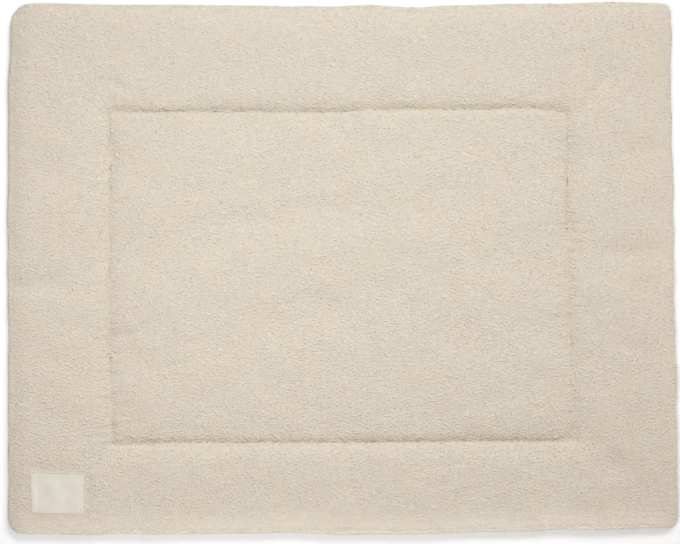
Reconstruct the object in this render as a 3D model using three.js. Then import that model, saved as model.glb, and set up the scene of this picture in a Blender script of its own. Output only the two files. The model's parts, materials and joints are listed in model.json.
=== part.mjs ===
// Playpen mat: a padded mat of curly-pile fleece, quilted once round an inner rectangle, with a blank cloth
// label sewn on near its front left corner.
// Millimetres, +Z up. X runs along the long sides and +Y towards the back edge. The origin is on the floor,
// under the middle of the mat. The solids reach to the tips of the pile.

import * as THREE from 'three';

// Driving dimensions
const LENGTH = 950; // finished size along X
const WIDTH = 750; // finished size along Y
const BORDER_HEIGHT = 25; // top of the padded border over the floor
const PANEL_HEIGHT = 22.8; // top of the quilted middle panel over the floor, beside its quilting
const PANEL_CROWN = { rise: 1.5, reach: 32 }; // how much higher its middle stands, and how soon
const SEAM_HEIGHT = 16; // where the quilting pulls the tips of the pile down
const SEAM_SOFTNESS = { border: 7.5, panel: 5 }; // how far from the stitches each side takes to swell up
const RIM_HEIGHT = 9; // height at which the mat is widest
const RIM_DEPTH = 40; // how far in from the edge the top goes on rising
const FOOT_INSET = 12; // how far in from the edge the underside meets the floor
const PITCH = 25; // widest spacing of the lines that carry the shape

const HALF_LENGTH = LENGTH / 2;
const HALF_WIDTH = WIDTH / 2;

// Lines of the quilted rectangle, before they wander
const SEAM = { left: -328, right: 324.5, front: -245.5, back: 225 };

// Corner radii of the outline
const CORNER_RADIUS = { backLeft: 28, backRight: 15, frontRight: 18, frontLeft: 22 };

// How far each edge stands outside the straight rectangle. "at" runs along the edge, from its middle.
const EDGE_WANDER = {
  left: [
    { at: -300, out: -0.8 },
    { at: -186, out: -1.2 },
    { at: -58, out: -0.8 },
    { at: -15, out: 0.6 },
    { at: 70, out: 0.1 },
    { at: 170, out: -0.7 },
    { at: 269, out: -1.0 },
    { at: 326, out: -4.3 },
  ],
  right: [
    { at: -335, out: 5.5 },
    { at: -285, out: 4.0 },
    { at: -186, out: 4.0 },
    { at: -100, out: 1.8 },
    { at: -29, out: 0.0 },
    { at: 99, out: 0.0 },
    { at: 148, out: -1.8 },
    { at: 198, out: -4.2 },
    { at: 340, out: -4.6 },
  ],
  front: [
    { at: -428, out: 1.8 },
    { at: -364, out: 2.8 },
    { at: -286, out: 0.7 },
    { at: -200, out: 1.7 },
    { at: -94, out: -0.4 },
    { at: -30, out: 1.4 },
    { at: 141, out: 0.4 },
    { at: 212, out: -1.6 },
    { at: 312, out: -3.4 },
    { at: 432, out: -6.6 },
  ],
  back: [
    { at: -371, out: 3.0 },
    { at: -307, out: 1.1 },
    { at: -257, out: 2.3 },
    { at: -115, out: 1.0 },
    { at: -80, out: -0.4 },
    { at: 48, out: 2.2 },
    { at: 105, out: -1.4 },
    { at: 155, out: 1.2 },
    { at: 305, out: 2.8 },
    { at: 380, out: 5.6 },
    { at: 440, out: 4.4 },
  ],
};

// The same for the four lines of quilting
const SEAM_WANDER = {
  left: [
    { at: -244, out: -5.0 },
    { at: -186, out: -3.3 },
    { at: -122, out: 0.0 },
    { at: -51, out: 1.4 },
    { at: 20, out: -0.4 },
    { at: 77, out: 1.0 },
    { at: 155, out: -1.4 },
    { at: 225, out: 0.3 },
  ],
  right: [
    { at: -244, out: 4.1 },
    { at: -186, out: 3.7 },
    { at: -100, out: 1.6 },
    { at: -29, out: -2.0 },
    { at: 99, out: -4.4 },
    { at: 225, out: -3.7 },
  ],
  front: [
    { at: -321, out: 3.3 },
    { at: -257, out: 0.4 },
    { at: -58, out: 0.4 },
    { at: 84, out: -0.6 },
    { at: 198, out: -2.1 },
    { at: 333, out: -2.6 },
  ],
  back: [
    { at: -328, out: -2.0 },
    { at: 0, out: -1.8 },
    { at: 34, out: 0.9 },
    { at: 134, out: 1.6 },
    { at: 191, out: 0.9 },
    { at: 248, out: 4.0 },
    { at: 290, out: 1.6 },
    { at: 327, out: -2.7 },
  ],
};

// Soft folds of the cover: troughs where rise is below zero, and ridges. "turn" is in degrees from +X.
const FOLDS = [
  { x: -432, y: -20, length: 110, turn: 0, rise: -2.3, spread: 17 },
  { x: -380, y: -50, length: 70, turn: -8, rise: 1.7, spread: 18 },
  { x: 425, y: 23, length: 130, turn: 3, rise: -2.4, spread: 15 },
  { x: 454, y: 172, length: 50, turn: 0, rise: -1.6, spread: 12 },
  { x: 442, y: 84, length: 70, turn: -20, rise: -1.7, spread: 17 },
  { x: -309, y: 258, length: 56, turn: -27, rise: -2.2, spread: 9 },
  { x: 369, y: 255, length: 56, turn: 67, rise: -2.2, spread: 9 },
  { x: -215, y: -18, length: 230, turn: 20, rise: 1.9, spread: 24 },
  { x: 20, y: 38, length: 300, turn: 8, rise: 1.9, spread: 24 },
  { x: -100, y: 74, length: 260, turn: 6, rise: -1.6, spread: 19 },
  { x: -15, y: -44, length: 330, turn: 12, rise: -1.4, spread: 22 },
  { x: -300, y: -98, length: 50, turn: 8, rise: -1.8, spread: 12 },
  { x: 404, y: -292, length: 100, turn: -25, rise: -1.6, spread: 17 },
  { x: -18, y: 300, length: 120, turn: 90, rise: -1.0, spread: 13 },
  { x: 6, y: 141, length: 40, turn: 0, rise: -1.1, spread: 16 },
];

// The label, and how deep its stitches press it into the pile
const LABEL = { x: -401.5, y: -317.8, length: 75.4, width: 54, turn: -1.4, thickness: 1.2 };
const LABEL_SINK = 3; // depth of the pressed patch under it
const LABEL_SLOPE = 8; // width of the slope round the patch
const LABEL_CELLS = { along: 12, across: 9 };
const GAP = 0.3; // between the label and the pile that it lies on

const SMALLEST_STEP = 1.5; // lines nearer to each other than this are one line

function smoothStep(share) {
  const t = Math.min(Math.max(share, 0), 1);
  return t * t * (3 - 2 * t);
}

// Value of a table's "out" column at a place, eased from row to row
function wander(rows, at) {
  if (at <= rows[0].at) return rows[0].out;
  for (let i = 1; i < rows.length; i++) {
    const before = rows[i - 1];
    const after = rows[i];
    if (at <= after.at) {
      const share = smoothStep((at - before.at) / (after.at - before.at));
      return before.out + (after.out - before.out) * share;
    }
  }
  return rows[rows.length - 1].out;
}

// Outward shift of a line at a distance from the middle: it follows the quilting inside the seam, and passes
// over to the edge's own wander outside it
function shift(from, seamAt, edgeAt, seamRows, edgeRows, along) {
  const atSeam = wander(seamRows, along);
  if (from <= seamAt) return (atSeam * from) / seamAt;
  const share = (from - seamAt) / (edgeAt - seamAt);
  return atSeam + (wander(edgeRows, along) - atSeam) * share;
}

function cornerRadius(u, v) {
  if (v > 0) return u < 0 ? CORNER_RADIUS.backLeft : CORNER_RADIUS.backRight;
  return u < 0 ? CORNER_RADIUS.frontLeft : CORNER_RADIUS.frontRight;
}

// Bends a square corner of the straight rectangle into a round one
function roundCorner(u, v) {
  const radius = cornerRadius(u, v);
  const a = Math.abs(u) - (HALF_LENGTH - radius);
  const b = Math.abs(v) - (HALF_WIDTH - radius);
  if (a <= 0 || b <= 0) return [u, v];
  const reach = Math.max(a, b);
  const angle = a > b ? ((Math.PI / 4) * b) / a : Math.PI / 2 - ((Math.PI / 4) * a) / b;
  const x = HALF_LENGTH - radius + reach * Math.cos(angle);
  const y = HALF_WIDTH - radius + reach * Math.sin(angle);
  return [Math.sign(u) * x, Math.sign(v) * y];
}

// Place in plan of a point (u, v) of the straight rectangle
function plan(u, v) {
  const [x, y] = roundCorner(u, v);
  const across =
    x < 0
      ? -shift(-x, -SEAM.left, HALF_LENGTH, SEAM_WANDER.left, EDGE_WANDER.left, y)
      : shift(x, SEAM.right, HALF_LENGTH, SEAM_WANDER.right, EDGE_WANDER.right, y);
  const along =
    y < 0
      ? -shift(-y, -SEAM.front, HALF_WIDTH, SEAM_WANDER.front, EDGE_WANDER.front, x)
      : shift(y, SEAM.back, HALF_WIDTH, SEAM_WANDER.back, EDGE_WANDER.back, x);
  return [x + across, y + along];
}

// How far the top has risen, from 0 at the edge to 1, by the distance in from one side
function rimRise(inset) {
  const left = 1 - Math.min(Math.max(inset / RIM_DEPTH, 0), 1);
  return Math.sqrt(1 - Math.pow(left, 2.5));
}

// How far the padding has swelled, from 0 at the stitches to 1
function swell(distance, softness) {
  return 1 - Math.exp(-distance / softness);
}

// Joins two rises into one that is close to the lower of them, without a crease
function both(first, second) {
  const sum = first + second - first * second;
  return sum > 0 ? (first * second) / sum : 0;
}

function foldHeight(x, y) {
  let height = 0;
  for (const fold of FOLDS) {
    const angle = THREE.MathUtils.degToRad(fold.turn);
    const along = (x - fold.x) * Math.cos(angle) + (y - fold.y) * Math.sin(angle);
    const across = (y - fold.y) * Math.cos(angle) - (x - fold.x) * Math.sin(angle);
    const fade = along / (fold.length / 2);
    height += fold.rise * Math.exp(-Math.pow(across / fold.spread, 2) - Math.pow(fade, 4));
  }
  return height;
}

// How far the label presses the pile down, full under it and fading over a slope round it
function labelSink(x, y) {
  const angle = THREE.MathUtils.degToRad(LABEL.turn);
  const along = (x - LABEL.x) * Math.cos(angle) + (y - LABEL.y) * Math.sin(angle);
  const across = (y - LABEL.y) * Math.cos(angle) - (x - LABEL.x) * Math.sin(angle);
  const past = Math.hypot(
    Math.max(Math.abs(along) - LABEL.length / 2, 0),
    Math.max(Math.abs(across) - LABEL.width / 2, 0),
  );
  return LABEL_SINK * (1 - smoothStep(past / LABEL_SLOPE));
}

// Height of the top at a point of the straight rectangle
function topHeight(u, v) {
  const rim = both(rimRise(HALF_LENGTH - Math.abs(u)), rimRise(HALF_WIDTH - Math.abs(v)));
  const past = {
    x: Math.max(SEAM.left - u, u - SEAM.right),
    y: Math.max(SEAM.front - v, v - SEAM.back),
  };
  const inside = past.x < 0 && past.y < 0;
  const padding = inside
    ? both(swell(-past.x, SEAM_SOFTNESS.panel), swell(-past.y, SEAM_SOFTNESS.panel))
    : swell(Math.hypot(Math.max(past.x, 0), Math.max(past.y, 0)), SEAM_SOFTNESS.border);
  const crown = both(swell(-past.x, PANEL_CROWN.reach), swell(-past.y, PANEL_CROWN.reach));
  const full = inside ? PANEL_HEIGHT + PANEL_CROWN.rise * crown : BORDER_HEIGHT;
  const swelled = SEAM_HEIGHT + (full - SEAM_HEIGHT) * padding;
  const [x, y] = plan(u, v);
  const uneven = foldHeight(x, y) * padding * rim;
  return RIM_HEIGHT + (swelled - RIM_HEIGHT) * rim + uneven - labelSink(x, y) * rim;
}

// Lines across the mat: close together at the edges, the quilting, the label and the narrow folds, and no more
// than PITCH apart
function shapeLines(half, seams, label, folds) {
  const edgeInsets = [0, 2, 6, 12, 22, 38];
  const seamOffsets = [-37, -24, -11, -4.5, 0, 4.5, 11, 24, 37];
  const labelOffsets = [-0.5, LABEL_SLOPE];
  const foldOffsets = [-1.6, -0.8, 0, 0.8, 1.6];
  const marks = [
    ...folds.flatMap((fold) => foldOffsets.map((offset) => fold.y + offset * fold.spread)),
    ...edgeInsets.flatMap((inset) => [inset - half, half - inset]),
    ...seams.flatMap((seam) => seamOffsets.map((offset) => seam + offset)),
    ...labelOffsets.flatMap((offset) => [label.low - offset, label.high + offset]),
  ].sort((a, b) => a - b);
  const lines = [marks[0]];
  for (const mark of marks.slice(1)) {
    const last = lines[lines.length - 1];
    if (mark - last < SMALLEST_STEP) continue;
    const cells = Math.ceil((mark - last) / PITCH);
    for (let i = 1; i <= cells; i++) lines.push(last + ((mark - last) * i) / cells);
  }
  return lines;
}

// A geometry from points and triangles of point numbers
function meshOf(points, triangles) {
  const geometry = new THREE.BufferGeometry();
  geometry.setAttribute('position', new THREE.Float32BufferAttribute(points.flat(), 3));
  geometry.setIndex(triangles.flat());
  geometry.computeVertexNormals();
  return geometry;
}

// Numbers of the points round the rim of a grid of columns and rows, anticlockwise from above
function gridRim(columns, rows) {
  const at = (i, j) => i * rows + j;
  const rim = [];
  for (let i = 0; i < columns - 1; i++) rim.push(at(i, 0));
  for (let j = 0; j < rows - 1; j++) rim.push(at(columns - 1, j));
  for (let i = columns - 1; i > 0; i--) rim.push(at(i, rows - 1));
  for (let j = rows - 1; j > 0; j--) rim.push(at(0, j));
  return rim;
}

// Triangles of a grid's faces, seen from above
function gridFaces(columns, rows) {
  const faces = [];
  for (let i = 0; i < columns - 1; i++) {
    for (let j = 0; j < rows - 1; j++) {
      const a = i * rows + j;
      const b = a + rows;
      faces.push([a, b, b + 1], [a, b + 1, a + 1]);
    }
  }
  return faces;
}

// Triangles of the wall between an upper ring of points and the ring under it
function wallFaces(upper, lower) {
  return upper.flatMap((top, k) => {
    const next = (k + 1) % upper.length;
    return [
      [top, lower[k], lower[next]],
      [top, lower[next], upper[next]],
    ];
  });
}

// The padded body: one filled solid, flat underneath
function paddedBody() {
  const label = { x: LABEL.length / 2, y: LABEL.width / 2 };
  const columnLabel = { low: LABEL.x - label.x, high: LABEL.x + label.x };
  const rowLabel = { low: LABEL.y - label.y, high: LABEL.y + label.y };
  const rowFolds = FOLDS.filter((fold) => Math.abs(fold.turn) < 5 && fold.length > 45 && fold.spread < 18);
  const columns = shapeLines(HALF_LENGTH, [SEAM.left, SEAM.right], columnLabel, []);
  const rows = shapeLines(HALF_WIDTH, [SEAM.front, SEAM.back], rowLabel, rowFolds);
  const straight = columns.flatMap((u) => rows.map((v) => [u, v]));
  const points = straight.map(([u, v]) => [...plan(u, v), topHeight(u, v)]);
  const triangles = gridFaces(columns.length, rows.length);

  const rim = gridRim(columns.length, rows.length);
  let upper = rim;
  for (const degrees of [30, 60, 90]) {
    const angle = THREE.MathUtils.degToRad(degrees);
    const inset = FOOT_INSET * (1 - Math.cos(angle));
    const height = degrees === 90 ? 0 : RIM_HEIGHT * (1 - Math.sin(angle));
    const lower = rim.map((number) => {
      const [u, v] = straight[number];
      const pulledU = THREE.MathUtils.clamp(u, inset - HALF_LENGTH, HALF_LENGTH - inset);
      const pulledV = THREE.MathUtils.clamp(v, inset - HALF_WIDTH, HALF_WIDTH - inset);
      return points.push([...plan(pulledU, pulledV), height]) - 1;
    });
    triangles.push(...wallFaces(upper, lower));
    upper = lower;
  }
  const foot = upper.map((number) => new THREE.Vector2(points[number][0], points[number][1]));
  for (const [a, b, c] of THREE.ShapeUtils.triangulateShape(foot, [])) {
    triangles.push([upper[a], upper[c], upper[b]]);
  }
  return meshOf(points, triangles);
}

// Height of the padded body's top over a place on the floor
function restHeight(padded, x, y) {
  const down = new THREE.Vector3(0, 0, -1);
  const above = new THREE.Vector3(x, y, 2 * BORDER_HEIGHT);
  return new THREE.Raycaster(above, down).intersectObject(padded)[0].point.z;
}

// The label: a thin sheet that follows the pressed pile under it
function labelSheet(padded) {
  const angle = THREE.MathUtils.degToRad(LABEL.turn);
  const columns = LABEL_CELLS.along + 1;
  const rows = LABEL_CELLS.across + 1;
  const under = [];
  for (let i = 0; i < columns; i++) {
    for (let j = 0; j < rows; j++) {
      const along = LABEL.length * (i / LABEL_CELLS.along - 0.5);
      const across = LABEL.width * (j / LABEL_CELLS.across - 0.5);
      const x = LABEL.x + along * Math.cos(angle) - across * Math.sin(angle);
      const y = LABEL.y + along * Math.sin(angle) + across * Math.cos(angle);
      under.push([x, y, restHeight(padded, x, y) + GAP]);
    }
  }
  const over = under.map(([x, y, z]) => [x, y, z + LABEL.thickness]);
  const count = under.length;
  const faces = gridFaces(columns, rows);
  const rim = gridRim(columns, rows);
  return meshOf(
    [...over, ...under],
    [
      ...faces,
      ...faces.map(([a, b, c]) => [a + count, c + count, b + count]),
      ...wallFaces(rim, rim.map((number) => number + count)),
    ],
  );
}

const fleece = new THREE.MeshStandardMaterial({ color: 0xdcd1c0, roughness: 0.95, metalness: 0 });
const labelCloth = new THREE.MeshStandardMaterial({ color: 0xddd8c7, roughness: 0.85, metalness: 0 });

const body = new THREE.Mesh(paddedBody(), fleece);
body.name = 'padded_body';

const label = new THREE.Mesh(labelSheet(body), labelCloth);
label.name = 'label';

// The middle of the outline goes over the origin
const middle = new THREE.Box3().setFromObject(body).getCenter(new THREE.Vector3());
const mat = new THREE.Group();
mat.add(body, label);
mat.position.set(-middle.x, -middle.y, 0);

export default mat;
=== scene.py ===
"""A padded playpen mat of cream curly-pile fleece, quilted once round, with a small bare label sewn on."""

import json
import math

import bpy
import numpy as np
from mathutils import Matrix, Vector
from mathutils.bvhtree import BVHTree
from mathutils.kdtree import KDTree

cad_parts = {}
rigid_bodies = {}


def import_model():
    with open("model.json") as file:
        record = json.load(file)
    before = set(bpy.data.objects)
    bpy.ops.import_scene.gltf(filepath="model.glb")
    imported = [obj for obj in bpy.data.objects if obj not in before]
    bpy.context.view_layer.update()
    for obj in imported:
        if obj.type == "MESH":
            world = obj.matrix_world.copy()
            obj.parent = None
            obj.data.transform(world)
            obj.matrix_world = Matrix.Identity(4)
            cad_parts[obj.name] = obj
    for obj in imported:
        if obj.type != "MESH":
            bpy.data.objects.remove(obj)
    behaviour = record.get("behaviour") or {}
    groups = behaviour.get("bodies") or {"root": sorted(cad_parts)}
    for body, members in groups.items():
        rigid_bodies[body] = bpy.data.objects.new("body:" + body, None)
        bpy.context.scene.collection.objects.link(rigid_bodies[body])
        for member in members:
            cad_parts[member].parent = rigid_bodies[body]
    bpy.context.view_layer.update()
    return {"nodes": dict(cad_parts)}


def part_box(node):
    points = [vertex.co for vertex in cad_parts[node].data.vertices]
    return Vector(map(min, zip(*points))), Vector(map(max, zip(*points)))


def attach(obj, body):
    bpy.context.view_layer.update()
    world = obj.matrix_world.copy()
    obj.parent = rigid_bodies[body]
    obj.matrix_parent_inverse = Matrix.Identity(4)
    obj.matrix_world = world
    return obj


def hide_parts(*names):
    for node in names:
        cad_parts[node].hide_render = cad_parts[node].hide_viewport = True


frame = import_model()
_, body_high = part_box("padded_body")
label_low, label_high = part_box("label")

# All lengths are in metres.

# Framing: what the photograph covers, and where its middle lies from the middle of the mat
VIEW_LENGTH = 0.9671
VIEW_CENTRE = (-0.0039, -0.0055)
RIM_LEVEL = 0.009
LENS = 85.0
SENSOR = 36.0

# The line of the quilting in the solid
SEAM_LEVEL = 0.016
SEAM_TOLERANCE = 0.0002
SEAM_INSET = 0.1
SEAM_STEP = 0.001
LONG_SIDES_FROM = 0.212
LONG_SIDES_EASE = 0.012

# The cover
BODY_SEED = 11
WELD = 0.00001
VOXEL = 0.006
PILE_DEPTH = 0.0016
FOOT_LEVEL = 0.0012
FOOT_EASE = 0.004
PRESSED_REACH = 0.006
RIM_DEPTH = 0.0010
RIM_SLOPE = 0.55
RIM_SLOPE_EASE = 0.35
SEW_REACH_FIRST = VOXEL * 0.45
SEW_REACH_LAST = VOXEL / 4
SEAM_FILL = 0.0008
SIDE_FILL = 0.0016
FLAT_DOWN = -0.999

# The pressure of the filling
SWELL = 0.0022
SWELL_EASE = 0.008
SWELL_ROOM = 0.0010
SWELL_ROOM_REACH = 0.02
SWELL_FRAMES = 20
HELD_REACH = 0.007
SMOOTH_FIRST = 10
SMOOTH_LAST = 4

# Unevenness of the filling: the length and height of its waves, whose crests run mostly lengthways
WAVES = ((0.110, 0.0003), (0.070, 0.0002), (0.045, 0.00008), (0.026, 0.00004))
WAVES_OF_EACH = 5
WAVE_SPREAD = 0.4
WAVE_STRETCH = (0.8, 1.25)
CALM_REACH = 0.02

# Small creases of the cover: place, length, turn from +X in degrees, rise and half-width
CREASES = (
    (-0.4320, -0.0280, 0.110, 0, -0.0022, 0.016),
    (-0.3800, -0.0550, 0.070, -8, 0.0018, 0.017),
    (0.4250, 0.0230, 0.130, 3, -0.0008, 0.014),
    (0.4420, 0.0840, 0.070, -20, -0.0006, 0.017),
    (0.4560, 0.1100, 0.080, 80, -0.0010, 0.016),
    (-0.2150, -0.0180, 0.230, 20, 0.0013, 0.022),
    (0.0200, 0.0380, 0.300, 8, 0.0013, 0.022),
    (-0.1000, 0.0740, 0.260, 6, -0.0013, 0.018),
    (-0.3184, 0.2579, 0.042, -20, -0.0016, 0.006),
    (-0.4250, 0.2290, 0.036, -50, -0.0010, 0.007),
    (0.3656, 0.2593, 0.052, 51, -0.0019, 0.007),
    (0.3800, 0.2500, 0.040, 75, -0.0008, 0.006),
    (-0.3150, -0.0963, 0.036, 8, -0.0018, 0.009),
    (-0.2850, -0.0870, 0.062, 15, -0.0010, 0.009),
    (0.3700, -0.2570, 0.085, -55, -0.0008, 0.009),
    (0.4000, -0.2800, 0.070, -50, -0.0006, 0.008),
    (0.4055, -0.1120, 0.085, -10, -0.0008, 0.009),
    (-0.0060, 0.2850, 0.055, 88, -0.0014, 0.008),
)

# The gathers that the quilting draws
PUCKER_STEPS = 12
PUCKER_LENGTH = (0.010, 0.017)
PUCKER_HEIGHT = 0.0004
PUCKER_SHARE = (0.1, 1.3)
PUCKER_REACH = 0.008

# The pile
PILE_SEED = 5
PILE_FOOT = 0.0035
PILE_LAY = (0.12, 0.97, 0.2)
UNDERSIDE_LEVEL = PILE_FOOT * 0.6
LABEL_CLEAR = 0.0012
CURL_SPACING = 0.0034
CURL_TRIES = 5
CURL_LENGTH = (0.0049, 0.0079)
CURL_WIDTH = (0.0028, 0.0038)
CURL_TURN = (1.2, 3.6)
CURL_SWAY = 0.7
CURL_RINGS = 2
CURL_ARCH = 0.6
CURL_LIFT = (0.2, 1.0)
CURL_RISE = 0.0003
CURL_BASE = 0.0002
CURL_DIP = 0.0006
CURL_CREST = 0.10
CURL_DROOP = 0.18
CURL_TILT = 0.03
CURL_ROUNDNESS = 1.4
CURL_FLOOR = 0.0005
TIP_SHARE = 0.35
MAP_MARGIN = 0.08

# The loose tufts where the pile hangs over the stitches, with painted shade on their curls
TUFT_REACH = 0.006
TUFT_SIDES_SHARE = 0.3
TUFT_TILT = 0.28
TUFT_LIFT = 0.6
TUFT_PAINTED_SHADE = 0.2

# Curls that lie crosswise: their share on the panel and the back border, what the left border adds and
# the right and front ones take, where those begin and over what width
COMBED_SHARE = 0.62
COMBED_LEFT = 0.33
COMBED_OTHERS = 0.40
COMBED_SIDES_FROM = 0.30
COMBED_SIDES_EASE = 0.08
COMBED_FRONT_FROM = 0.22
COMBED_FRONT_EASE = 0.05
COMBED_SPREAD = 0.6

# Painted shade along the stitches, where the pile parts: how far it reaches and how much of it shows
PAINTED_SEAM_SHADE_HIGH = 0.0052
PAINTED_SEAM_SHADE_LOW = 0.0022
PAINTED_SEAM_SHADE_SIDES = 0.0042
PAINTED_SEAM_SHADE_SIDES_SHARE = 0.4
PAINTED_SEAM_SHADE_ON_PILE = 0.3
PAINTED_SEAM_SHADE_ON_GROUND = 0.7

# Stitches
STITCH_SIDES = 6
STITCH_RINGS = (0.0, 0.25, 0.5, 0.75, 1.0)
STITCH_PITCH = 0.0048
STITCH_SHARE = 0.86
STITCH_THICKNESS = 0.0007
STITCH_SINK = 0.0004
ABOVE_ALL = 0.2

# The label: ripples as height and waves along and across, and the hem's end as a share of the length
LABEL_LENGTH = 0.0754
LABEL_WIDTH = 0.054
LABEL_MIDDLE = (label_low + label_high) / 2
LABEL_TURN = math.radians(-1.4)
LABEL_LEAN = 0.0034
LABEL_GRID = (90, 64)
LABEL_BASE = 0.0003
LABEL_LOOSE = 0.0004
LABEL_RIPPLES = ((0.0005, 2.3, 0.5), (0.0004, 1.1, -1.7))
LABEL_THICKNESS = 0.0007
LABEL_EDGE = 0.00018
HEM_HEIGHT = 0.0008
HEM_END = 0.085
HEM_EASE = 0.02
LABEL_STITCH_INSET = 0.0022
LABEL_STITCH_PITCH = 0.0030
LABEL_STITCH_SHARE = 0.72
LABEL_STITCH_THICKNESS = 0.0005
LABEL_STITCH_SINK = 0.0002

# Colours and finishes
CREAM = (0.704, 0.643, 0.548)
CREAM_WARM = (0.717, 0.637, 0.534)
CREAM_COOL = (0.692, 0.648, 0.556)
# Painted shade on the curls' flanks and tips
CREAM_PAINTED_CURL_SHADE = (0.646, 0.551, 0.429)
# Painted shade for the fleece between the curls
CREAM_PAINTED_GROUND_SHADE = (0.668, 0.585, 0.470)
# Painted shade along the stitches
CREAM_PAINTED_SEAM_SHADE = (0.640, 0.535, 0.402)
BLACK = (0, 0, 0)
WHITE = (1, 1, 1)
FLEECE_FINISH = {
    "Roughness": 0.95, "Specular IOR Level": 0.15, "Sheen Weight": 0.25, "Sheen Roughness": 0.6,
}
UNDERSIDE_THREADS = 1400
LABEL_THREADS = 2200

# The floor, a hair's breadth under the mat
FLOOR_SIZE = 12
FLOOR_LEVEL = -0.0002


# Helpers

def deselect_all():
    for obj in bpy.context.view_layer.objects:
        obj.select_set(False)
    bpy.context.view_layer.objects.active = None


def make_active(obj):
    deselect_all()
    obj.select_set(True)
    bpy.context.view_layer.objects.active = obj


def apply_modifiers(obj):
    make_active(obj)
    for modifier in list(obj.modifiers):
        bpy.ops.object.modifier_apply(modifier=modifier.name)


def edit(obj, select="SELECT"):
    """Opens a mesh for editing, with all of it selected or, with DESELECT, none."""
    make_active(obj)
    bpy.ops.object.mode_set(mode="EDIT")
    bpy.ops.mesh.select_mode(type="FACE")
    bpy.ops.mesh.select_all(action=select)


def done():
    bpy.ops.object.mode_set(mode="OBJECT")


def shade_smooth(obj):
    edit(obj)
    bpy.ops.mesh.faces_shade_smooth()
    done()


def vectors_of(obj, kind):
    vectors = np.empty(len(obj.data.vertices) * 3)
    obj.data.vertices.foreach_get(kind, vectors)
    return vectors.reshape(-1, 3)


def points_of(obj):
    return vectors_of(obj, "co")


def normals_of(obj):
    return vectors_of(obj, "normal")


def edges_of(obj):
    edges = np.empty(len(obj.data.edges) * 2, int)
    obj.data.edges.foreach_get("vertices", edges)
    return edges.reshape(-1, 2)


def move_points(obj, places):
    obj.data.vertices.foreach_set("co", places.ravel())
    obj.data.update()


def set_attribute(obj, name, values):
    obj.data.attributes.new(name, "FLOAT", "POINT").data.foreach_set("value", values)


def unit(vectors):
    return vectors / np.linalg.norm(vectors, axis=1, keepdims=True)


def ease(share):
    """From 0 to 1 with a soft start and end, and no further."""
    share = np.clip(share, 0, 1)
    return share * share * (3 - 2 * share)


def tapered(arch):
    """Share of a curl's or stitch's full width: TIP_SHARE at its ends, 1 in its middle."""
    return TIP_SHARE + (1 - TIP_SHARE) * arch


def new_piece(name, points, faces):
    """A mesh object from an array of points and an array of triangles."""
    mesh = bpy.data.meshes.new(name)
    mesh.vertices.add(len(points))
    mesh.vertices.foreach_set("co", points.ravel())
    mesh.loops.add(faces.size)
    mesh.loops.foreach_set("vertex_index", faces.ravel())
    mesh.polygons.add(len(faces))
    mesh.polygons.foreach_set("loop_start", np.arange(0, faces.size, 3))
    mesh.polygons.foreach_set("use_smooth", np.ones(len(faces), bool))
    mesh.update(calc_edges=True)
    obj = bpy.data.objects.new(name, mesh)
    bpy.context.scene.collection.objects.link(obj)
    return obj


# Material helpers

def new_material(name, finish):
    """A material, its node tree and its shader, whose inputs are set from the finish."""
    material = bpy.data.materials.new(name)
    material.use_nodes = True
    tree = material.node_tree
    shader = next(node for node in tree.nodes if node.type == "BSDF_PRINCIPLED")
    for socket, value in finish.items():
        shader.inputs[socket].default_value = value
    return material, tree, shader


def add_node(tree, kind, links=None, **settings):
    """A node with its settings; links go from its input's name to the output that feeds it, or to a value."""
    node = tree.nodes.new(kind)
    for name, value in settings.items():
        setattr(node, name, value)
    for name, source in (links or {}).items():
        socket = node.inputs[name]
        if isinstance(source, bpy.types.NodeSocket):
            tree.links.new(source, socket)
        else:
            socket.default_value = source
    return node


def math_node(tree, operation, *values):
    return add_node(tree, "ShaderNodeMath", dict(enumerate(values)), operation=operation).outputs[0]


def times(tree, first, second):
    return math_node(tree, "MULTIPLY", first, second)


def mixed(tree, share, first, second, blend="MIX"):
    """Two colours mixed; each is an output or a tuple."""
    first, second = ((*colour, 1) if isinstance(colour, tuple) else colour for colour in (first, second))
    links = {0: share, 6: first, 7: second}
    return add_node(tree, "ShaderNodeMix", links, data_type="RGBA", blend_type=blend).outputs[2]


def ramp(tree, source, stops):
    """A colour ramp from (place, colour) stops."""
    node = add_node(tree, "ShaderNodeValToRGB", {"Fac": source})
    elements = node.color_ramp.elements
    while len(elements) < len(stops):
        elements.new(0.5)
    for element, (place, colour) in zip(elements, stops):
        element.position = place
        element.color = (*colour, 1)
    return node.outputs["Color"]


def bump(tree, height, distance, strength):
    links = {"Height": height, "Distance": distance, "Strength": strength}
    return add_node(tree, "ShaderNodeBump", links).outputs["Normal"]


def noise(tree, place, scale, detail, roughness=0.5):
    links = {"Vector": place, "Scale": scale, "Detail": detail, "Roughness": roughness}
    return add_node(tree, "ShaderNodeTexNoise", links).outputs


def object_place(tree):
    return add_node(tree, "ShaderNodeTexCoord").outputs["Object"]


def attribute(tree, name):
    return add_node(tree, "ShaderNodeAttribute", attribute_name=name).outputs["Fac"]


# Places on the mat

def quilting_line():
    """The stitched line in order round the mat, read off the solid as its points at the seam's level."""
    points = points_of(frame["nodes"]["padded_body"])
    inner_x = np.abs(points[:, 0]) < body_high.x - SEAM_INSET
    inner_y = np.abs(points[:, 1]) < body_high.y - SEAM_INSET
    on_seam = inner_x & inner_y & (np.abs(points[:, 2] - SEAM_LEVEL) < SEAM_TOLERANCE)
    corners = np.unique(np.round(points[on_seam][:, :2], 5), axis=0)
    loop = corners[np.argsort(np.arctan2(corners[:, 1] / body_high.y, corners[:, 0] / body_high.x))]
    closed = np.vstack([loop, loop[:1]])
    along = np.concatenate([[0], np.cumsum(np.linalg.norm(np.diff(closed, axis=0), axis=1))])
    places = np.arange(0, along[-1], SEAM_STEP)
    return np.column_stack([np.interp(places, along, closed[:, axis]) for axis in (0, 1)])


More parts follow.
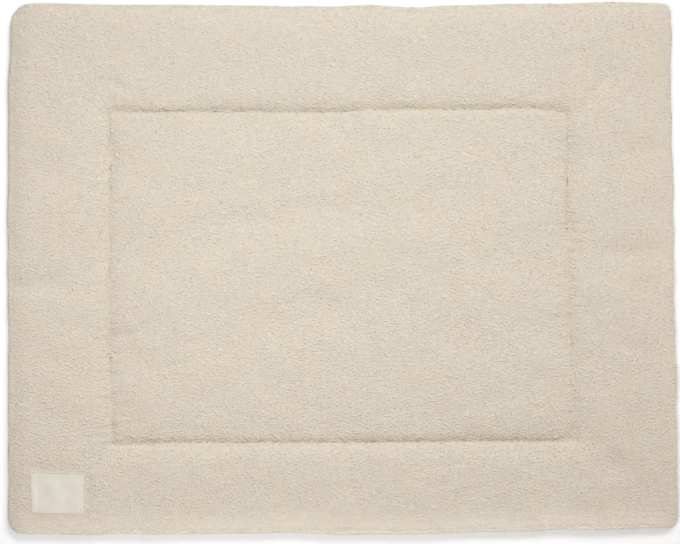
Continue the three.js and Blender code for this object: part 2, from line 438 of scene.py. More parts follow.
SEAM = quilting_line()
SEAM_TREE = KDTree(len(SEAM))
for number, (x, y) in enumerate(SEAM):
    SEAM_TREE.insert((x, y, 0), number)
SEAM_TREE.balance()


def seam_distance(points):
    """How far each point is from the stitches in plan, and the number of the nearest place on them."""
    found = [SEAM_TREE.find((x, y, 0))[1:] for x, y in points[:, :2]]
    numbers = np.array([number for number, _ in found])
    return np.array([far for _, far in found]), numbers


def seam_heading(numbers, reach):
    """Which way the stitches run at some of their places, taken over a few places on both sides."""
    return (np.roll(SEAM, -reach, axis=0) - np.roll(SEAM, reach, axis=0))[numbers]


def along_long_sides(numbers):
    """1 for the places of the stitches along the front and back, 0 for those along the left and right."""
    return ease((np.abs(SEAM[numbers, 1]) - LONG_SIDES_FROM) / LONG_SIDES_EASE)


def on_border(points, nearest):
    """Whether each point lies outside the stitches, on the border."""
    heading = seam_heading(nearest, 3)
    away = points[:, :2] - SEAM[nearest]
    return heading[:, 0] * away[:, 1] - heading[:, 1] * away[:, 0] < 0


def leans_over(points, nearest):
    """Whether each point's pile leans over the stitches.

    It does behind the long seams, as the pile leans to the front, and on the border beside the others.
    """
    behind = points[:, 1] > SEAM[nearest, 1]
    return np.where(along_long_sides(nearest) > 0.5, behind, on_border(points, nearest))


def past_label(points):
    """How far each point is from the label's outline in plan, 0 under the label."""
    x, y = points[:, 0] - LABEL_MIDDLE.x, points[:, 1] - LABEL_MIDDLE.y
    cos, sin = math.cos(LABEL_TURN), math.sin(LABEL_TURN)
    along = np.maximum(np.abs(x * cos + y * sin) - LABEL_LENGTH / 2, 0)
    across = np.maximum(np.abs(y * cos - x * sin) - LABEL_WIDTH / 2, 0)
    return np.hypot(along, across)


def surface_at(tree, x, y):
    """The top surface's place and normal at a place in plan."""
    place, normal, _, _ = tree.ray_cast(Vector((x, y, ABOVE_ALL)), Vector((0, 0, -1)))
    return place, normal


# The padded body

def even_copy(solid):
    """A copy of the solid as an even mesh, with its sharp edges eased."""
    body = bpy.data.objects.new("mat_body", solid.data.copy())
    bpy.context.scene.collection.objects.link(body)
    body.data.materials.clear()
    edit(body)
    bpy.ops.mesh.remove_doubles(threshold=WELD)
    done()
    remesh = body.modifiers.new("remesh", "REMESH")
    remesh.mode = "VOXEL"
    remesh.voxel_size = VOXEL
    apply_modifiers(body)
    smooth = body.modifiers.new("smooth", "SMOOTH")
    smooth.factor = 0.5
    smooth.iterations = 2
    apply_modifiers(body)
    return body


def sink_under_pile(body, solid_tree):
    """Brings the cover a pile's depth inside the solid, with room to swell away from the stitches.

    It stays up under the label, where the pile is pressed flat, and at the foot.
    """
    points, normals = points_of(body), normals_of(body)
    pile = ease(past_label(points) / PRESSED_REACH) * ease(points[:, 2] / FOOT_EASE)
    room = SWELL_ROOM * ease(seam_distance(points)[0] / SWELL_ROOM_REACH)
    points = np.array([tuple(solid_tree.find_nearest(point)[0]) for point in points])
    points -= normals * ((PILE_DEPTH + room) * pile)[:, None]
    points[points[:, 2] < FOOT_LEVEL, 2] = 0
    move_points(body, points)


def sew_down(body, reach):
    """Brings the points nearest to the stitches onto their line, so that the channel is narrow."""
    points = points_of(body)
    far, nearest = seam_distance(points)
    sewn = (far < reach) & (points[:, 2] > FOOT_LEVEL)
    heading = unit(seam_heading(nearest, 2))
    away = points[:, :2] - SEAM[nearest]
    along = (away * heading).sum(axis=1, keepdims=True) * heading
    points[sewn, :2] = (SEAM[nearest] + along)[sewn]
    fill = SEAM_FILL + SIDE_FILL * (1 - along_long_sides(nearest))
    points[sewn, 2] = (SEAM_LEVEL - PILE_DEPTH + fill)[sewn]
    move_points(body, points)


def smoothed(obj, values, rounds):
    """Rows of values at the points of a mesh, each eased towards its neighbours' mean a number of times."""
    edges = edges_of(obj)
    first, second = edges.T
    neighbours = np.bincount(edges.ravel(), minlength=len(values))[:, None]
    for _ in range(rounds):
        total = np.zeros_like(values)
        for axis in range(values.shape[1]):
            total[:, axis] = np.bincount(first, values[second, axis], len(values))
            total[:, axis] += np.bincount(second, values[first, axis], len(values))
        values = (values + total / neighbours) / 2
    return values


def swell(body):
    """Fills the cover: pressure inside it, held along the stitches and on the floor."""
    start = points_of(body)
    far, _ = seam_distance(start)
    still = (far < HELD_REACH) & (start[:, 2] > FOOT_LEVEL) | (start[:, 2] < FOOT_LEVEL)
    held = body.vertex_groups.new(name="held")
    held.add([int(number) for number in np.flatnonzero(still)], 1.0, "REPLACE")
    cover = body.modifiers.new("cover", "CLOTH")
    cloth = cover.settings
    cloth.quality = 4
    cloth.mass = 0.3
    cloth.tension_stiffness = 15
    cloth.compression_stiffness = 15
    cloth.bending_stiffness = 2.0
    cloth.vertex_group_mass = "held"
    cloth.use_pressure = True
    cloth.uniform_pressure_force = 4
    cloth.shrink_min = -0.015
    cloth.effector_weights.gravity = 0
    for number in range(1, SWELL_FRAMES + 1):
        bpy.context.scene.frame_set(number)
    swelled = points_of(body.evaluated_get(bpy.context.evaluated_depsgraph_get()))
    body.modifiers.remove(cover)
    bpy.context.scene.frame_set(1)
    move = smoothed(body, swelled - start, SMOOTH_FIRST)
    move[still] = 0
    reach = np.maximum(np.linalg.norm(move, axis=1, keepdims=True), 1e-9)
    move *= SWELL * (1 - np.exp(-reach / SWELL_EASE)) / reach
    move_points(body, start + smoothed(body, move, SMOOTH_LAST))


def hold_outline(body, solid_tree):
    """Brings the rim to its depth inside the solid, less and less as the cover turns to face up."""
    points, normals = points_of(body), normals_of(body)
    share = 1 - ease((normals[:, 2] - RIM_SLOPE) / RIM_SLOPE_EASE)
    share[points[:, 2] < FOOT_LEVEL] = 0
    for number in np.flatnonzero(share > 0.001):
        surface = np.array(solid_tree.find_nearest(points[number])[0])
        target = surface - normals[number] * RIM_DEPTH
        points[number] += (target - points[number]) * share[number]
    move_points(body, points)


def soften(body, rng):
    """Small unevenness of the filling and creases of the cover, on top of the folds that the solid has."""
    points, normals = points_of(body), normals_of(body)
    x, y = points[:, 0], points[:, 1]
    rise = np.zeros(len(points))
    for length, height in WAVES:
        for _ in range(WAVES_OF_EACH):
            angle, start = rng.normal(math.pi / 2, WAVE_SPREAD), rng.uniform(0, 2 * math.pi)
            wave = 2 * math.pi / (length * rng.uniform(*WAVE_STRETCH))
            rise += height * np.sin(wave * (x * math.cos(angle) + y * math.sin(angle)) + start)
    for middle_x, middle_y, length, turn, height, spread in CREASES:
        cos, sin = math.cos(math.radians(turn)), math.sin(math.radians(turn))
        along = (x - middle_x) * cos + (y - middle_y) * sin
        across = (y - middle_y) * cos - (x - middle_x) * sin
        rise += height * np.exp(-((across / spread) ** 2) - (2 * along / length) ** 4)
    rise *= (points[:, 2] > FOOT_LEVEL)
    rise *= ease(past_label(points) / CALM_REACH)
    move_points(body, points + normals * rise[:, None])


def pucker(body, rng):
    """Draws the cover into small gathers that run out from the stitches on both sides."""
    points, normals = points_of(body), normals_of(body)
    far, nearest = seam_distance(points)
    outside = on_border(points, nearest)
    numbers = np.arange(len(SEAM))
    count = int(len(SEAM) / PUCKER_STEPS)
    spots = np.linspace(0, len(SEAM), count)
    near = far / PUCKER_REACH
    rise = np.zeros(len(points))
    for side in (outside, ~outside):
        lengths = rng.uniform(*PUCKER_LENGTH, count)
        turns = np.interp(numbers, spots, np.cumsum(PUCKER_STEPS * SEAM_STEP / lengths))
        heights = np.interp(numbers, spots, rng.uniform(*PUCKER_SHARE, count))
        wave = np.sin(2 * math.pi * turns) * heights
        rise = np.where(side, PUCKER_HEIGHT * wave[nearest] * near * np.exp(1 - near), rise)
    rise *= (points[:, 2] > FOOT_LEVEL) * ease(normals[:, 2])
    move_points(body, points + normals * rise[:, None])


def flatten_underside(body):
    """Sets the foot on the floor and joins the flat faces there into one."""
    points = points_of(body)
    low = points[:, 2] < FOOT_LEVEL
    points[low, 2] = 0
    points[:, 2] = np.maximum(points[:, 2], 0)
    move_points(body, points)
    edit(body, "DESELECT")
    done()
    flat = np.array([all(low[list(face.vertices)]) for face in body.data.polygons])
    body.data.polygons.foreach_set("select", flat)
    bpy.ops.object.mode_set(mode="EDIT")
    bpy.ops.mesh.dissolve_faces()
    done()


def padded_body():
    """The mat's cover, a pile's depth inside the solid, swelled and puckered, with a flat underside."""
    solid = frame["nodes"]["padded_body"]
    body = even_copy(solid)
    solid_tree = BVHTree.FromObject(solid, bpy.context.evaluated_depsgraph_get())
    sink_under_pile(body, solid_tree)
    sew_down(body, SEW_REACH_FIRST)
    swell(body)
    subdivide = body.modifiers.new("subdivide", "SUBSURF")
    subdivide.levels = subdivide.render_levels = 1
    apply_modifiers(body)
    sew_down(body, SEW_REACH_LAST)
    hold_outline(body, solid_tree)
    rng = np.random.default_rng(BODY_SEED)
    soften(body, rng)
    pucker(body, rng)
    flatten_underside(body)
    shade_smooth(body)
    flat = np.array([face.normal.z < FLAT_DOWN for face in body.data.polygons])
    body.data.polygons.foreach_set("use_smooth", ~flat)
    return body


# The pile

def kept_apart(places, spacing):
    """Numbers of the places kept when each that lies too near one kept before it is left out."""
    kept, cells = [], {}
    squares = spacing**2
    neighbours = [(i, j, k) for i in (-1, 0, 1) for j in (-1, 0, 1) for k in (-1, 0, 1)]
    keys = np.floor(places / spacing).astype(int)
    for number, (x, y, z) in enumerate(places.tolist()):
        i, j, k = keys[number].tolist()
        clear = True
        for a, b, c in neighbours:
            for u, v, w in cells.get((i + a, j + b, k + c), ()):
                if (u - x) ** 2 + (v - y) ** 2 + (w - z) ** 2 < squares:
                    clear = False
                    break
            if not clear:
                break
        if clear:
            cells.setdefault((i, j, k), []).append((x, y, z))
            kept.append(number)
    return kept


def scatter(body, rng):
    """Places about CURL_SPACING apart all over the cover, and the cover's normal there."""
    mesh = body.data
    mesh.calc_loop_triangles()
    corners = np.empty(len(mesh.loop_triangles) * 3, int)
    mesh.loop_triangles.foreach_get("vertices", corners)
    corners = corners.reshape(-1, 3)
    triangles = points_of(body)[corners]
    covered = triangles[:, :, 2].mean(axis=1) > PILE_FOOT
    corners, triangles = corners[covered], triangles[covered]
    sides = triangles[:, 1:] - triangles[:, :1]
    areas = np.linalg.norm(np.cross(sides[:, 0], sides[:, 1]), axis=1) / 2
    tries = int(CURL_TRIES * areas.sum() / CURL_SPACING**2)
    chosen = np.searchsorted(np.cumsum(areas) / areas.sum(), rng.random(tries))
    weights = rng.dirichlet((1, 1, 1), tries)[:, :, None]
    places = (triangles[chosen] * weights).sum(axis=1)
    facing = (normals_of(body)[corners[chosen]] * weights).sum(axis=1)
    kept = kept_apart(places, CURL_SPACING)
    return places[kept], unit(facing[kept])


def tuft_share(places):
    """1 at the stitches where the pile hangs over them in loose tufts, falling to 0 a centimetre away.

    It is 0 where the pile leans away from the stitches, and less at the sides.
    """
    far, nearest = seam_distance(places)
    share = TUFT_SIDES_SHARE + (1 - TUFT_SIDES_SHARE) * along_long_sides(nearest)
    return np.where(leans_over(places, nearest), share * np.exp(-((far / TUFT_REACH) ** 2)), 0)


def combed_share(places):
    """Share of the curls that lie crosswise: most on the left border, fewer on the right and front ones."""
    left = ease((-places[:, 0] - COMBED_SIDES_FROM) / COMBED_SIDES_EASE)
    right = ease((places[:, 0] - COMBED_SIDES_FROM) / COMBED_SIDES_EASE)
    front = ease((-places[:, 1] - COMBED_FRONT_FROM) / COMBED_FRONT_EASE)
    return COMBED_SHARE + COMBED_LEFT * left - COMBED_OTHERS * np.maximum(right, front)


def curl_paths(places, rng):
    """Each curl's path in its own plane, its heading at every ring, and the curl's width."""
    count = len(places)
    share = np.linspace(0, 1, CURL_RINGS + 2)
    length = rng.uniform(*CURL_LENGTH, count)[:, None]
    width = rng.uniform(*CURL_WIDTH, count)[:, None]
    turn = (rng.uniform(*CURL_TURN, count) * rng.choice([-1, 1], count))[:, None]
    sway = rng.uniform(-CURL_SWAY, CURL_SWAY, count)[:, None]
    combed = rng.random(count) < combed_share(places)
    crosswise, anyhow = rng.normal(0, COMBED_SPREAD, count), rng.uniform(0, 2 * math.pi, count)
    start = np.where(combed, crosswise, anyhow)[:, None]
    heading = start + turn * (share - 0.5) + sway * np.sin(2 * math.pi * share)
    step = (heading[:, 1:] + heading[:, :-1]) / 2
    x = np.cumsum(np.cos(step), axis=1) * length / (CURL_RINGS + 1)
    y = np.cumsum(np.sin(step), axis=1) * length / (CURL_RINGS + 1)
    x, y = np.pad(x, ((0, 0), (1, 0))), np.pad(y, ((0, 0), (1, 0)))
    x -= x.mean(axis=1, keepdims=True)
    y -= y.mean(axis=1, keepdims=True)
    return x, y, heading, width


def curl_points(places, facing, tufts, rng):
    """Points of every curl, an arc on the cover that dips into it at both ends, and which way they face.

    A curl is a tip, rings of a crest and two flanks, and a tip. The flanks and tips face nearly sideways.
    """
    count = len(places)
    x, y, heading, width = curl_paths(places, rng)
    up = unit(facing + rng.normal(0, 1, facing.shape) * (CURL_TILT + TUFT_TILT * tufts)[:, None])
    aside = unit(np.cross(up, PILE_LAY))
    ahead = np.cross(up, aside)
    up, aside, ahead = up[:, None], aside[:, None], ahead[:, None]

    arch = np.sin(math.pi * np.linspace(0, 1, CURL_RINGS + 2)) ** CURL_ARCH
    lift = rng.uniform(*CURL_LIFT, count)[:, None] * (1 + TUFT_LIFT * tufts)[:, None]
    spine = (CURL_RISE * lift + CURL_BASE) * arch - CURL_DIP * (1 - arch)
    half = width / 2 * tapered(arch)
    across_x, across_y = -np.sin(heading), np.cos(heading)

    def place(side, height):
        u, v = x + across_x * side, y + across_y * side
        return places[:, None] + aside * u[..., None] + ahead * v[..., None] + up * height[..., None]

    crest = place(0 * half, spine + CURL_CREST * width * arch)
    left = place(-half, spine - CURL_DROOP * half)
    right = place(half, spine - CURL_DROOP * half)
    rings = np.stack([crest, left, right], axis=2)[:, 1:-1].reshape(count, -1, 3)
    tips = place(0 * half, spine)
    points = np.concatenate([tips[:, :1], rings, tips[:, -1:]], axis=1)
    points[:, :, 2] = np.maximum(points[:, :, 2], CURL_FLOOR)

    upright, outward = math.cos(CURL_ROUNDNESS) * up, math.sin(CURL_ROUNDNESS)
    sideways = (aside * across_x[..., None] + ahead * across_y[..., None]) * outward
    onwards = (aside * np.cos(heading)[..., None] + ahead * np.sin(heading)[..., None]) * outward
    turned = np.stack([up + 0 * sideways, upright - sideways, upright + sideways], axis=2)[:, 1:-1]
    turned = turned.reshape(count, -1, 3)
    normals = np.concatenate([upright - onwards[:, :1], turned, upright + onwards[:, -1:]], axis=1)
    return points, normals


def curl_faces():
    """Triangles and their map corners for one curl."""
    def ring(number, side):
        return 1 + 3 * number + side % 3

    def spot(side, step):
        return side / 3, step / (CURL_RINGS + 1)

    tail, head, last = 0, 1 + 3 * CURL_RINGS, CURL_RINGS - 1
    faces, corners = [], []
    for side in range(3):
        faces.append((tail, ring(0, side + 1), ring(0, side)))
        corners.append((spot(side + 0.5, 0), spot(side + 1, 1), spot(side, 1)))
        for number in range(last):
            a, b = ring(number, side), ring(number, side + 1)
            c, d = ring(number + 1, side + 1), ring(number + 1, side)
            near, far = number + 1, number + 2
            faces += [(a, b, c), (a, c, d)]
            corners.append((spot(side, near), spot(side + 1, near), spot(side + 1, far)))
            corners.append((spot(side, near), spot(side + 1, far), spot(side, far)))
        faces.append((head, ring(last, side), ring(last, side + 1)))
        corners.append((spot(side + 0.5, last + 2), spot(side, last + 1), spot(side + 1, last + 1)))
    return np.array(faces), np.array(corners)


def curl_map(corners, count):
    """Map places of all the curls of a piece, each curl in a square of its own."""
    cells = math.ceil(math.sqrt(count))
    squares = np.stack([np.arange(count) % cells, np.arange(count) // cells], axis=1)[:, None]
    inside = MAP_MARGIN + (1 - 2 * MAP_MARGIN) * corners.reshape(1, -1, 2)
    return (inside + squares) / cells


def round_off(piece, faces, crests, normals):
    """Turns the faces of each curl at its flanks and tips away from up, so that the curl looks round."""
    edges = edges_of(piece)
    piece.data.edges.foreach_set("use_edge_sharp", crests[edges].max(axis=1) == 0)
    rounded = normals[faces]
    rounded[crests[faces].max(axis=1) == 0] = 0
    piece.data.normals_split_custom_set(rounded.reshape(-1, 3))


def mark_painted_seam_shade(piece):
    """Marks how near each point is to the stitches, for painted shade where the pile parts along them.

    Where the pile leans over the stitches, which behind the long seams is the side of the channel away from
    the key light, the painted shade reaches further. It is weaker at the sides.
    """
    points = points_of(piece)
    far, nearest = seam_distance(points)
    lengthways = along_long_sides(nearest)
    share = PAINTED_SEAM_SHADE_SIDES_SHARE + (1 - PAINTED_SEAM_SHADE_SIDES_SHARE) * lengthways
    reach = np.where(leans_over(points, nearest), PAINTED_SEAM_SHADE_HIGH, PAINTED_SEAM_SHADE_LOW)
    reach = PAINTED_SEAM_SHADE_SIDES + (reach - PAINTED_SEAM_SHADE_SIDES) * lengthways
    set_attribute(piece, "painted_seam_shade", share * np.exp(-((far / reach) ** 2)))


def pile_piece(name, places, facing, rng):
    """All the curls of one part of the mat, joined into one mesh with its own map and tones."""
    count = len(places)
    tufts = tuft_share(places)
    points, normals = curl_points(places, facing, tufts, rng)
    template, corners = curl_faces()
    size = points.shape[1]
    faces = (template[None] + size * np.arange(count)[:, None, None]).reshape(-1, 3)
    piece = new_piece(name, points.reshape(-1, 3), faces)
    piece.data.uv_layers.new(name="OFBake").data.foreach_set("uv", curl_map(corners, count).ravel())
    # Painted shade: curls in the tufts over the stitches take darker tones
    set_attribute(piece, "curl_tone", np.repeat(rng.random(count) * (1 - TUFT_PAINTED_SHADE * tufts), size))
    crests = np.tile(np.concatenate([[0.0], np.tile([1.0, 0.0, 0.0], CURL_RINGS), [0.0]]), count)
    set_attribute(piece, "curl_crest", crests)
    round_off(piece, faces, crests, normals.reshape(-1, 3))
    mark_painted_seam_shade(piece)
    return piece


def pile(body):
    """The pile in pieces: four along the borders and two on the middle panel."""
    rng = np.random.default_rng(PILE_SEED)
    places, facing = scatter(body, rng)
    clear = past_label(places) > LABEL_CLEAR
    places, facing = places[clear], facing[clear]
    seam_low, seam_high = SEAM.min(axis=0), SEAM.max(axis=0)
    x, y = places[:, 0], places[:, 1]
    back, front = y > seam_high[1], y < seam_low[1]
    middle = ~back & ~front
    left, right = middle & (x < seam_low[0]), middle & (x > seam_high[0])
    panel = middle & ~left & ~right
    parts = {
        "pile_border_back": back,
        "pile_border_front": front,
        "pile_border_left": left,
        "pile_border_right": right,
        "pile_panel_left": panel & (x < 0),
        "pile_panel_right": panel & (x >= 0),
    }
    return [pile_piece(name, places[part], facing[part], rng) for name, part in parts.items()]


# Sewing

def stitch_row(name, path, length, thickness, sink):
    """Short thread stitches laid end to end along a path of places and normals."""
    points, faces = [], []
    for (start, normal), (end, _) in zip(path[:-1], path[1:]):
        ahead, up = (end - start).normalized(), normal.normalized()
        across = ahead.cross(up)
        base = len(points)
        for share in STITCH_RINGS:
            arch = math.sin(math.pi * share)
            radius = thickness / 2 * tapered(arch**0.5)
            middle = start + ahead * length * share + up * (arch * thickness * 0.5 - (1 - arch) * sink)
            for side in range(STITCH_SIDES):
                angle = 2 * math.pi * side / STITCH_SIDES
                points.append(middle + across * radius * math.cos(angle) + up * radius * math.sin(angle))
        for ring in range(len(STITCH_RINGS) - 1):
            for side in range(STITCH_SIDES):
                a = base + ring * STITCH_SIDES + side
                b = base + ring * STITCH_SIDES + (side + 1) % STITCH_SIDES
                faces += [(a, b + STITCH_SIDES, b), (a, a + STITCH_SIDES, b + STITCH_SIDES)]
        last = base + (len(STITCH_RINGS) - 1) * STITCH_SIDES
        for side in range(1, STITCH_SIDES - 1):
            faces.append((base, base + side, base + side + 1))
            faces.append((last, last + side + 1, last + side))
    piece = new_piece(name, np.array([tuple(point) for point in points]), np.array(faces))
    edit(piece)
    bpy.ops.mesh.normals_make_consistent(inside=False)
    done()
    return piece


def quilting_stitches(tree):
    path = [surface_at(tree, x, y) for x, y in SEAM[::round(STITCH_PITCH / SEAM_STEP)]]
    path.append(path[0])
    length = STITCH_PITCH * STITCH_SHARE
    return stitch_row("quilting_stitches", path, length, STITCH_THICKNESS, STITCH_SINK)


# The label

def label_spot(along, across):
    """Place on the floor of a point of the label. Its left edge leans in a little towards the front."""
    along += LABEL_LEAN * (0.5 - along / LABEL_LENGTH) * (0.5 - across / LABEL_WIDTH)
    cos, sin = math.cos(LABEL_TURN), math.sin(LABEL_TURN)
    return LABEL_MIDDLE.x + along * cos - across * sin, LABEL_MIDDLE.y + along * sin + across * cos


def label_height(along, across):
    """How far the label stands over the pressed pile: its hem, and ripples between its stitched edges."""
    u, v = along / LABEL_LENGTH + 0.5, across / LABEL_WIDTH + 0.5
    free = min(1, 4 * min(u, 1 - u)) * min(1, 4 * min(v, 1 - v))
    ripple = sum(height * math.sin(2 * math.pi * (a * u + b * v)) for height, a, b in LABEL_RIPPLES)
    hem = HEM_HEIGHT * (1 - float(ease((u - HEM_END) / HEM_EASE)))
    return LABEL_BASE + hem + (LABEL_LOOSE + ripple) * free


def label_cloth(tree):
    """The label: a fine sheet with a folded hem along its left side, laid on the pressed pile."""
    deselect_all()
    bpy.ops.mesh.primitive_grid_add(x_subdivisions=LABEL_GRID[0], y_subdivisions=LABEL_GRID[1], size=1)
    label = bpy.context.active_object
    label.name = label.data.name = "label_cloth"
    label.data.uv_layers.active.name = "label_map"
    points = points_of(label)
    along, across = points[:, 0] * LABEL_LENGTH, points[:, 1] * LABEL_WIDTH
    for number, (u, v) in enumerate(zip(along, across)):
        x, y = label_spot(u, v)
        place, _ = surface_at(tree, x, y)
        points[number] = (x, y, place.z + label_height(u, v))
    move_points(label, points)
    solidify = label.modifiers.new("thickness", "SOLIDIFY")
    solidify.thickness = LABEL_THICKNESS
    solidify.offset = 1
    bevel = label.modifiers.new("edge", "BEVEL")
    bevel.width = LABEL_EDGE
    bevel.segments = 2
    bevel.angle_limit = math.radians(50)
    apply_modifiers(label)
    shade_smooth(label)
    return label


def label_stitches(label):
    """Running stitches round the label, a little inside its edges."""
    tree = BVHTree.FromObject(label, bpy.context.evaluated_depsgraph_get())
    u, v = LABEL_LENGTH / 2 - LABEL_STITCH_INSET, LABEL_WIDTH / 2 - LABEL_STITCH_INSET
    corners = [(-u, -v), (u, -v), (u, v), (-u, v), (-u, -v)]
    path = []
    for (a, b), (c, d) in zip(corners[:-1], corners[1:]):
        count = round(math.hypot(c - a, d - b) / LABEL_STITCH_PITCH)
        for share in np.arange(count) / count:
            path.append(surface_at(tree, *label_spot(a + (c - a) * share, b + (d - b) * share)))
    path.append(path[0])
    length = LABEL_STITCH_PITCH * LABEL_STITCH_SHARE
    return stitch_row("label_stitches", path, length, LABEL_STITCH_THICKNESS, LABEL_STITCH_SINK)


# Materials

def patchy_with_painted_shade(tree, place):
    """Cream that drifts between warmer and cooler over some centimetres, with painted shade that makes it
    darker and warmer at the front and sides and lighter and cooler at the back, towards the key light.
    """
    drift = noise(tree, place, 24.0, 3.0, 0.75)["Fac"]
    cream = ramp(tree, drift, [(0.38, CREAM_WARM), (0.5, CREAM), (0.62, CREAM_COOL)])
    parts = add_node(tree, "ShaderNodeSeparateXYZ", {0: place})
    back = math_node(tree, "MULTIPLY_ADD", parts.outputs[1], 1.3, 0.5)
    right = math_node(tree, "MULTIPLY_ADD", parts.outputs[0], 1.0, 0.5)
    # Painted shade: a little darker and warmer towards the left and right ends
    lengthways = ramp(tree, right, [
        (0.1, (0.988, 0.974, 0.970)), (0.3, WHITE), (0.75, WHITE), (0.92, (0.996, 0.972, 0.964)),
    ])
    # Painted shade: darker and warmer at the front, lighter and cooler at the back, where the key light comes
    # from
    painted_front_back_shade = ramp(tree, back, [
        (0.1, (1.0, 0.988, 0.984)), (0.5, WHITE), (0.9, (1.0, 1.010, 1.016)),
    ])
    return mixed(tree, 1.0, mixed(tree, 1.0, cream, lengthways, "MULTIPLY"), painted_front_back_shade, "MULTIPLY")


def with_painted_seam_shade(tree, share, colour):
    """A colour with painted shade along the stitches, where the pile parts."""
    return mixed(tree, times(tree, attribute(tree, "painted_seam_shade"), share), colour, CREAM_PAINTED_SEAM_SHADE)


def pile_material():
    """Curly fleece yarn: matt, soft, fine fibres along each curl, each curl in a tone of its own, with
    painted shade on its flanks and tips.
    """
    material, tree, shader = new_material("curly fleece", FLEECE_FINISH)
    place = object_place(tree)
    tones = ramp(tree, attribute(tree, "curl_tone"), [
        (0.0, (0.960, 0.951, 0.942)), (1.0, (1.018, 1.021, 1.023)),
    ])
    coloured = mixed(tree, 1.0, patchy_with_painted_shade(tree, place), tones, "MULTIPLY")
    # Painted shade: the curls' flanks and tips, away from the crest, take a deeper, warmer cream
    root = ramp(tree, attribute(tree, "curl_crest"), [(0.0, (0.48, 0.48, 0.48)), (0.6, BLACK)])
    with_painted_flank_shade = mixed(tree, root, coloured, CREAM_PAINTED_CURL_SHADE)
    tree.links.new(with_painted_seam_shade(tree, PAINTED_SEAM_SHADE_ON_PILE, with_painted_flank_shade), shader.inputs["Base Color"])
    fibre = noise(tree, place, 2600.0, 3.0, 0.7)["Fac"]
    tree.links.new(bump(tree, fibre, 0.0004, 0.5), shader.inputs["Normal"])
    return material


def ground_material():
    """The fleece between the curls: the same yarn, matted, with painted shade that deepens its tone, most in
    the hollows of its worm pattern.
    """
    material, tree, shader = new_material("fleece ground", FLEECE_FINISH)
    place = object_place(tree)
    warp = mixed(tree, 0.012, BLACK, noise(tree, place, 150.0, 2.0)["Color"])
    bent = add_node(tree, "ShaderNodeVectorMath", {0: place, 1: warp}, operation="ADD").outputs[0]
    worms = noise(tree, bent, 230.0, 1.0, 0.4)["Fac"]
    ridge = math_node(tree, "ABSOLUTE", math_node(tree, "SUBTRACT", worms, 0.5))
    rounded = math_node(tree, "POWER", times(tree, ridge, 5.0), 0.6)
    # Painted shade: the hollows of the worm pattern take the deeper cream
    shaded = mixed(tree, rounded, CREAM_PAINTED_GROUND_SHADE, patchy_with_painted_shade(tree, place))
    tree.links.new(with_painted_seam_shade(tree, PAINTED_SEAM_SHADE_ON_GROUND, shaded), shader.inputs["Base Color"])
    tree.links.new(bump(tree, rounded, 0.0012, 0.6), shader.inputs["Normal"])
    return material


def weave(tree, place, threads):
    """Height of a plain weave with that many threads to a metre, over and under in turn."""
    parts = add_node(tree, "ShaderNodeSeparateXYZ", {0: place})
    along = times(tree, parts.outputs[0], math.pi * threads)
    across = times(tree, parts.outputs[1], math.pi * threads)
    warp = math_node(tree, "ABSOLUTE", math_node(tree, "SINE", along))
    weft = math_node(tree, "ABSOLUTE", math_node(tree, "SINE", across))
    turn = times(tree, math_node(tree, "COSINE", along), math_node(tree, "COSINE", across))
    over = math_node(tree, "GREATER_THAN", turn, 0.0)
    under = math_node(tree, "SUBTRACT", 1.0, over)
    return math_node(tree, "ADD", times(tree, warp, over), times(tree, weft, under))


def underside_material():
    """Plain woven cloth on the mat's underside, with painted shade between its threads."""
    finish = {"Roughness": 0.85, "Specular IOR Level": 0.2}
    material, tree, shader = new_material("underside cloth", finish)
    place = object_place(tree)
    height = weave(tree, place, UNDERSIDE_THREADS)
    slub = noise(tree, place, 60.0, 4.0)["Fac"]
    cream = ramp(tree, slub, [(0.35, (0.66, 0.60, 0.50)), (0.65, (0.74, 0.68, 0.58))])
    # Painted shade: darker where the weave is low, between the threads
    shaded = mixed(tree, times(tree, height, 0.5), (0.55, 0.49, 0.40), cream)
    tree.links.new(shaded, shader.inputs["Base Color"])
    tree.links.new(bump(tree, height, 0.0003, 0.6), shader.inputs["Normal"])
    return material


def label_material():
    """Off-white woven cloth, a little cloudy, with painted shade between its threads."""
    finish = {"Roughness": 0.75, "Specular IOR Level": 0.25}
    material, tree, shader = new_material("label weave", finish)
    spot = add_node(tree, "ShaderNodeUVMap", uv_map="label_map").outputs["UV"]
    links = {"Vector": spot, "Scale": (LABEL_LENGTH, LABEL_WIDTH, 1)}
    sized = add_node(tree, "ShaderNodeMapping", links).outputs["Vector"]
    height = weave(tree, sized, LABEL_THREADS)
    cloud = noise(tree, sized, 45.0, 5.0, 0.6)["Fac"]
    white = ramp(tree, cloud, [(0.3, (0.703, 0.662, 0.572)), (0.7, (0.775, 0.735, 0.645))])
    # Painted shade: darker where the weave is low, between the threads
    painted_thread_shade = times(tree, math_node(tree, "SUBTRACT", 1.0, height), 0.25)
    tree.links.new(mixed(tree, painted_thread_shade, white, (0.60, 0.56, 0.47)), shader.inputs["Base Color"])
    tree.links.new(bump(tree, height, 0.00015, 0.5), shader.inputs["Normal"])
    return material


def thread_material():
    """Cream sewing thread with its twist, with painted shade in the twist's grooves."""
    material, tree, shader = new_material("sewing thread", {"Roughness": 0.6})
    links = {"Vector": object_place(tree), "Scale": 900.0, "Distortion": 1.0}
    twist = add_node(
        tree, "ShaderNodeTexWave", links, wave_type="BANDS", bands_direction="DIAGONAL"
    ).outputs["Fac"]
    # Painted shade: darker where the twist is low, in its grooves
    cream = ramp(tree, twist, [(0.2, (0.60, 0.54, 0.44)), (0.8, (0.74, 0.68, 0.58))])
    tree.links.new(cream, shader.inputs["Base Color"])
    tree.links.new(bump(tree, twist, 0.0001, 0.5), shader.inputs["Normal"])
    return material


# Floor, lights and camera

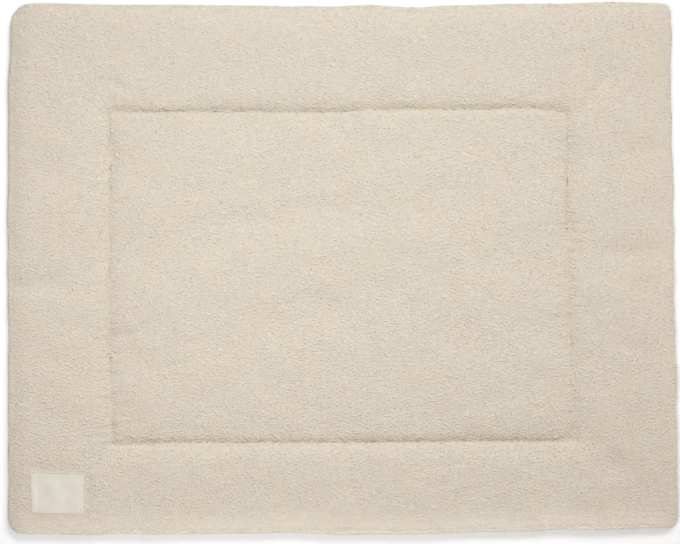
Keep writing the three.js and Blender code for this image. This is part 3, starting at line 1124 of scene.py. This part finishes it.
def studio_floor():
    deselect_all()
    bpy.ops.mesh.primitive_plane_add(size=FLOOR_SIZE, location=(0, 0, FLOOR_LEVEL))
    floor = bpy.context.active_object
    floor.name = "floor"
    finish = {"Base Color": (0.96, 0.96, 0.965, 1), "Roughness": 0.9, "Specular IOR Level": 0.1}
    floor.data.materials.append(new_material("studio floor", finish)[0])


def area_light(name, place, aim, size, power):
    lamp = bpy.data.lights.new(name, "AREA")
    lamp.shape = "RECTANGLE"
    lamp.size, lamp.size_y = size
    lamp.energy = power
    obj = bpy.data.objects.new(name, lamp)
    obj.location = place
    obj.rotation_euler = (Vector(aim) - Vector(place)).to_track_quat("-Z", "Y").to_euler()
    obj.visible_camera = False
    bpy.context.scene.collection.objects.link(obj)


def studio_lights():
    """A key from behind, a soft light over the middle, and low reflectors that brighten the rim."""
    area_light("key", (0.7, 2.1, 2.3), (0, 0, 0), (1.6, 1.0), 61.4)
    area_light("over", (-0.17, -0.05, 1.3), (-0.17, -0.05, 0), (0.5, 0.4), 8.2)
    area_light("reflector_front", (0.1, -0.9, 0.025), (0.1, -0.3, 0.02), (1.6, 0.04), 5.0)
    area_light("reflector_right", (1.0, 0, 0.045), (0.4, 0, 0.01), (0.05, 1.2), 1.5)
    area_light("reflector_left", (-1.0, 0, 0.025), (-0.4, 0, 0.02), (0.04, 1.2), 1.2)
    world = bpy.data.worlds.new("studio")
    world.use_nodes = True
    background = world.node_tree.nodes["Background"]
    background.inputs["Color"].default_value = (1.0, 0.985, 0.965, 1)
    background.inputs["Strength"].default_value = 0.24
    bpy.context.scene.world = world
    bpy.context.scene.view_settings.view_transform = "Standard"


def studio_camera():
    """A camera straight above, at the height from which the view's length fills the picture at the rim."""
    camera = bpy.data.cameras.new("camera")
    camera.lens = LENS
    camera.sensor_width = SENSOR
    obj = bpy.data.objects.new("camera", camera)
    height = VIEW_LENGTH / 2 * LENS / (SENSOR / 2)
    obj.location = (*VIEW_CENTRE, RIM_LEVEL + height)
    bpy.context.scene.collection.objects.link(obj)
    bpy.context.scene.camera = obj


# The whole mat

studio_camera()
studio_lights()
studio_floor()

mat_body = padded_body()
mark_painted_seam_shade(mat_body)
mat_body.data.materials.append(ground_material())
mat_body.data.materials.append(underside_material())
for face in mat_body.data.polygons:
    if face.center.z < UNDERSIDE_LEVEL:
        face.material_index = 1
cover = BVHTree.FromObject(mat_body, bpy.context.evaluated_depsgraph_get())

pile_pieces = pile(mat_body)
fleece = pile_material()
for piece in pile_pieces:
    piece.data.materials.append(fleece)

thread = thread_material()
stitches = quilting_stitches(cover)
stitches.data.materials.append(thread)

label = label_cloth(cover)
label.data.materials.append(label_material())
edge_stitches = label_stitches(label)
edge_stitches.data.materials.append(thread)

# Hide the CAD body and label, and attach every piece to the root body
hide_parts("padded_body")
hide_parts("label")
for piece in (mat_body, stitches, *pile_pieces):
    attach(piece, "root")
for piece in (label, edge_stitches):
    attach(piece, "root")
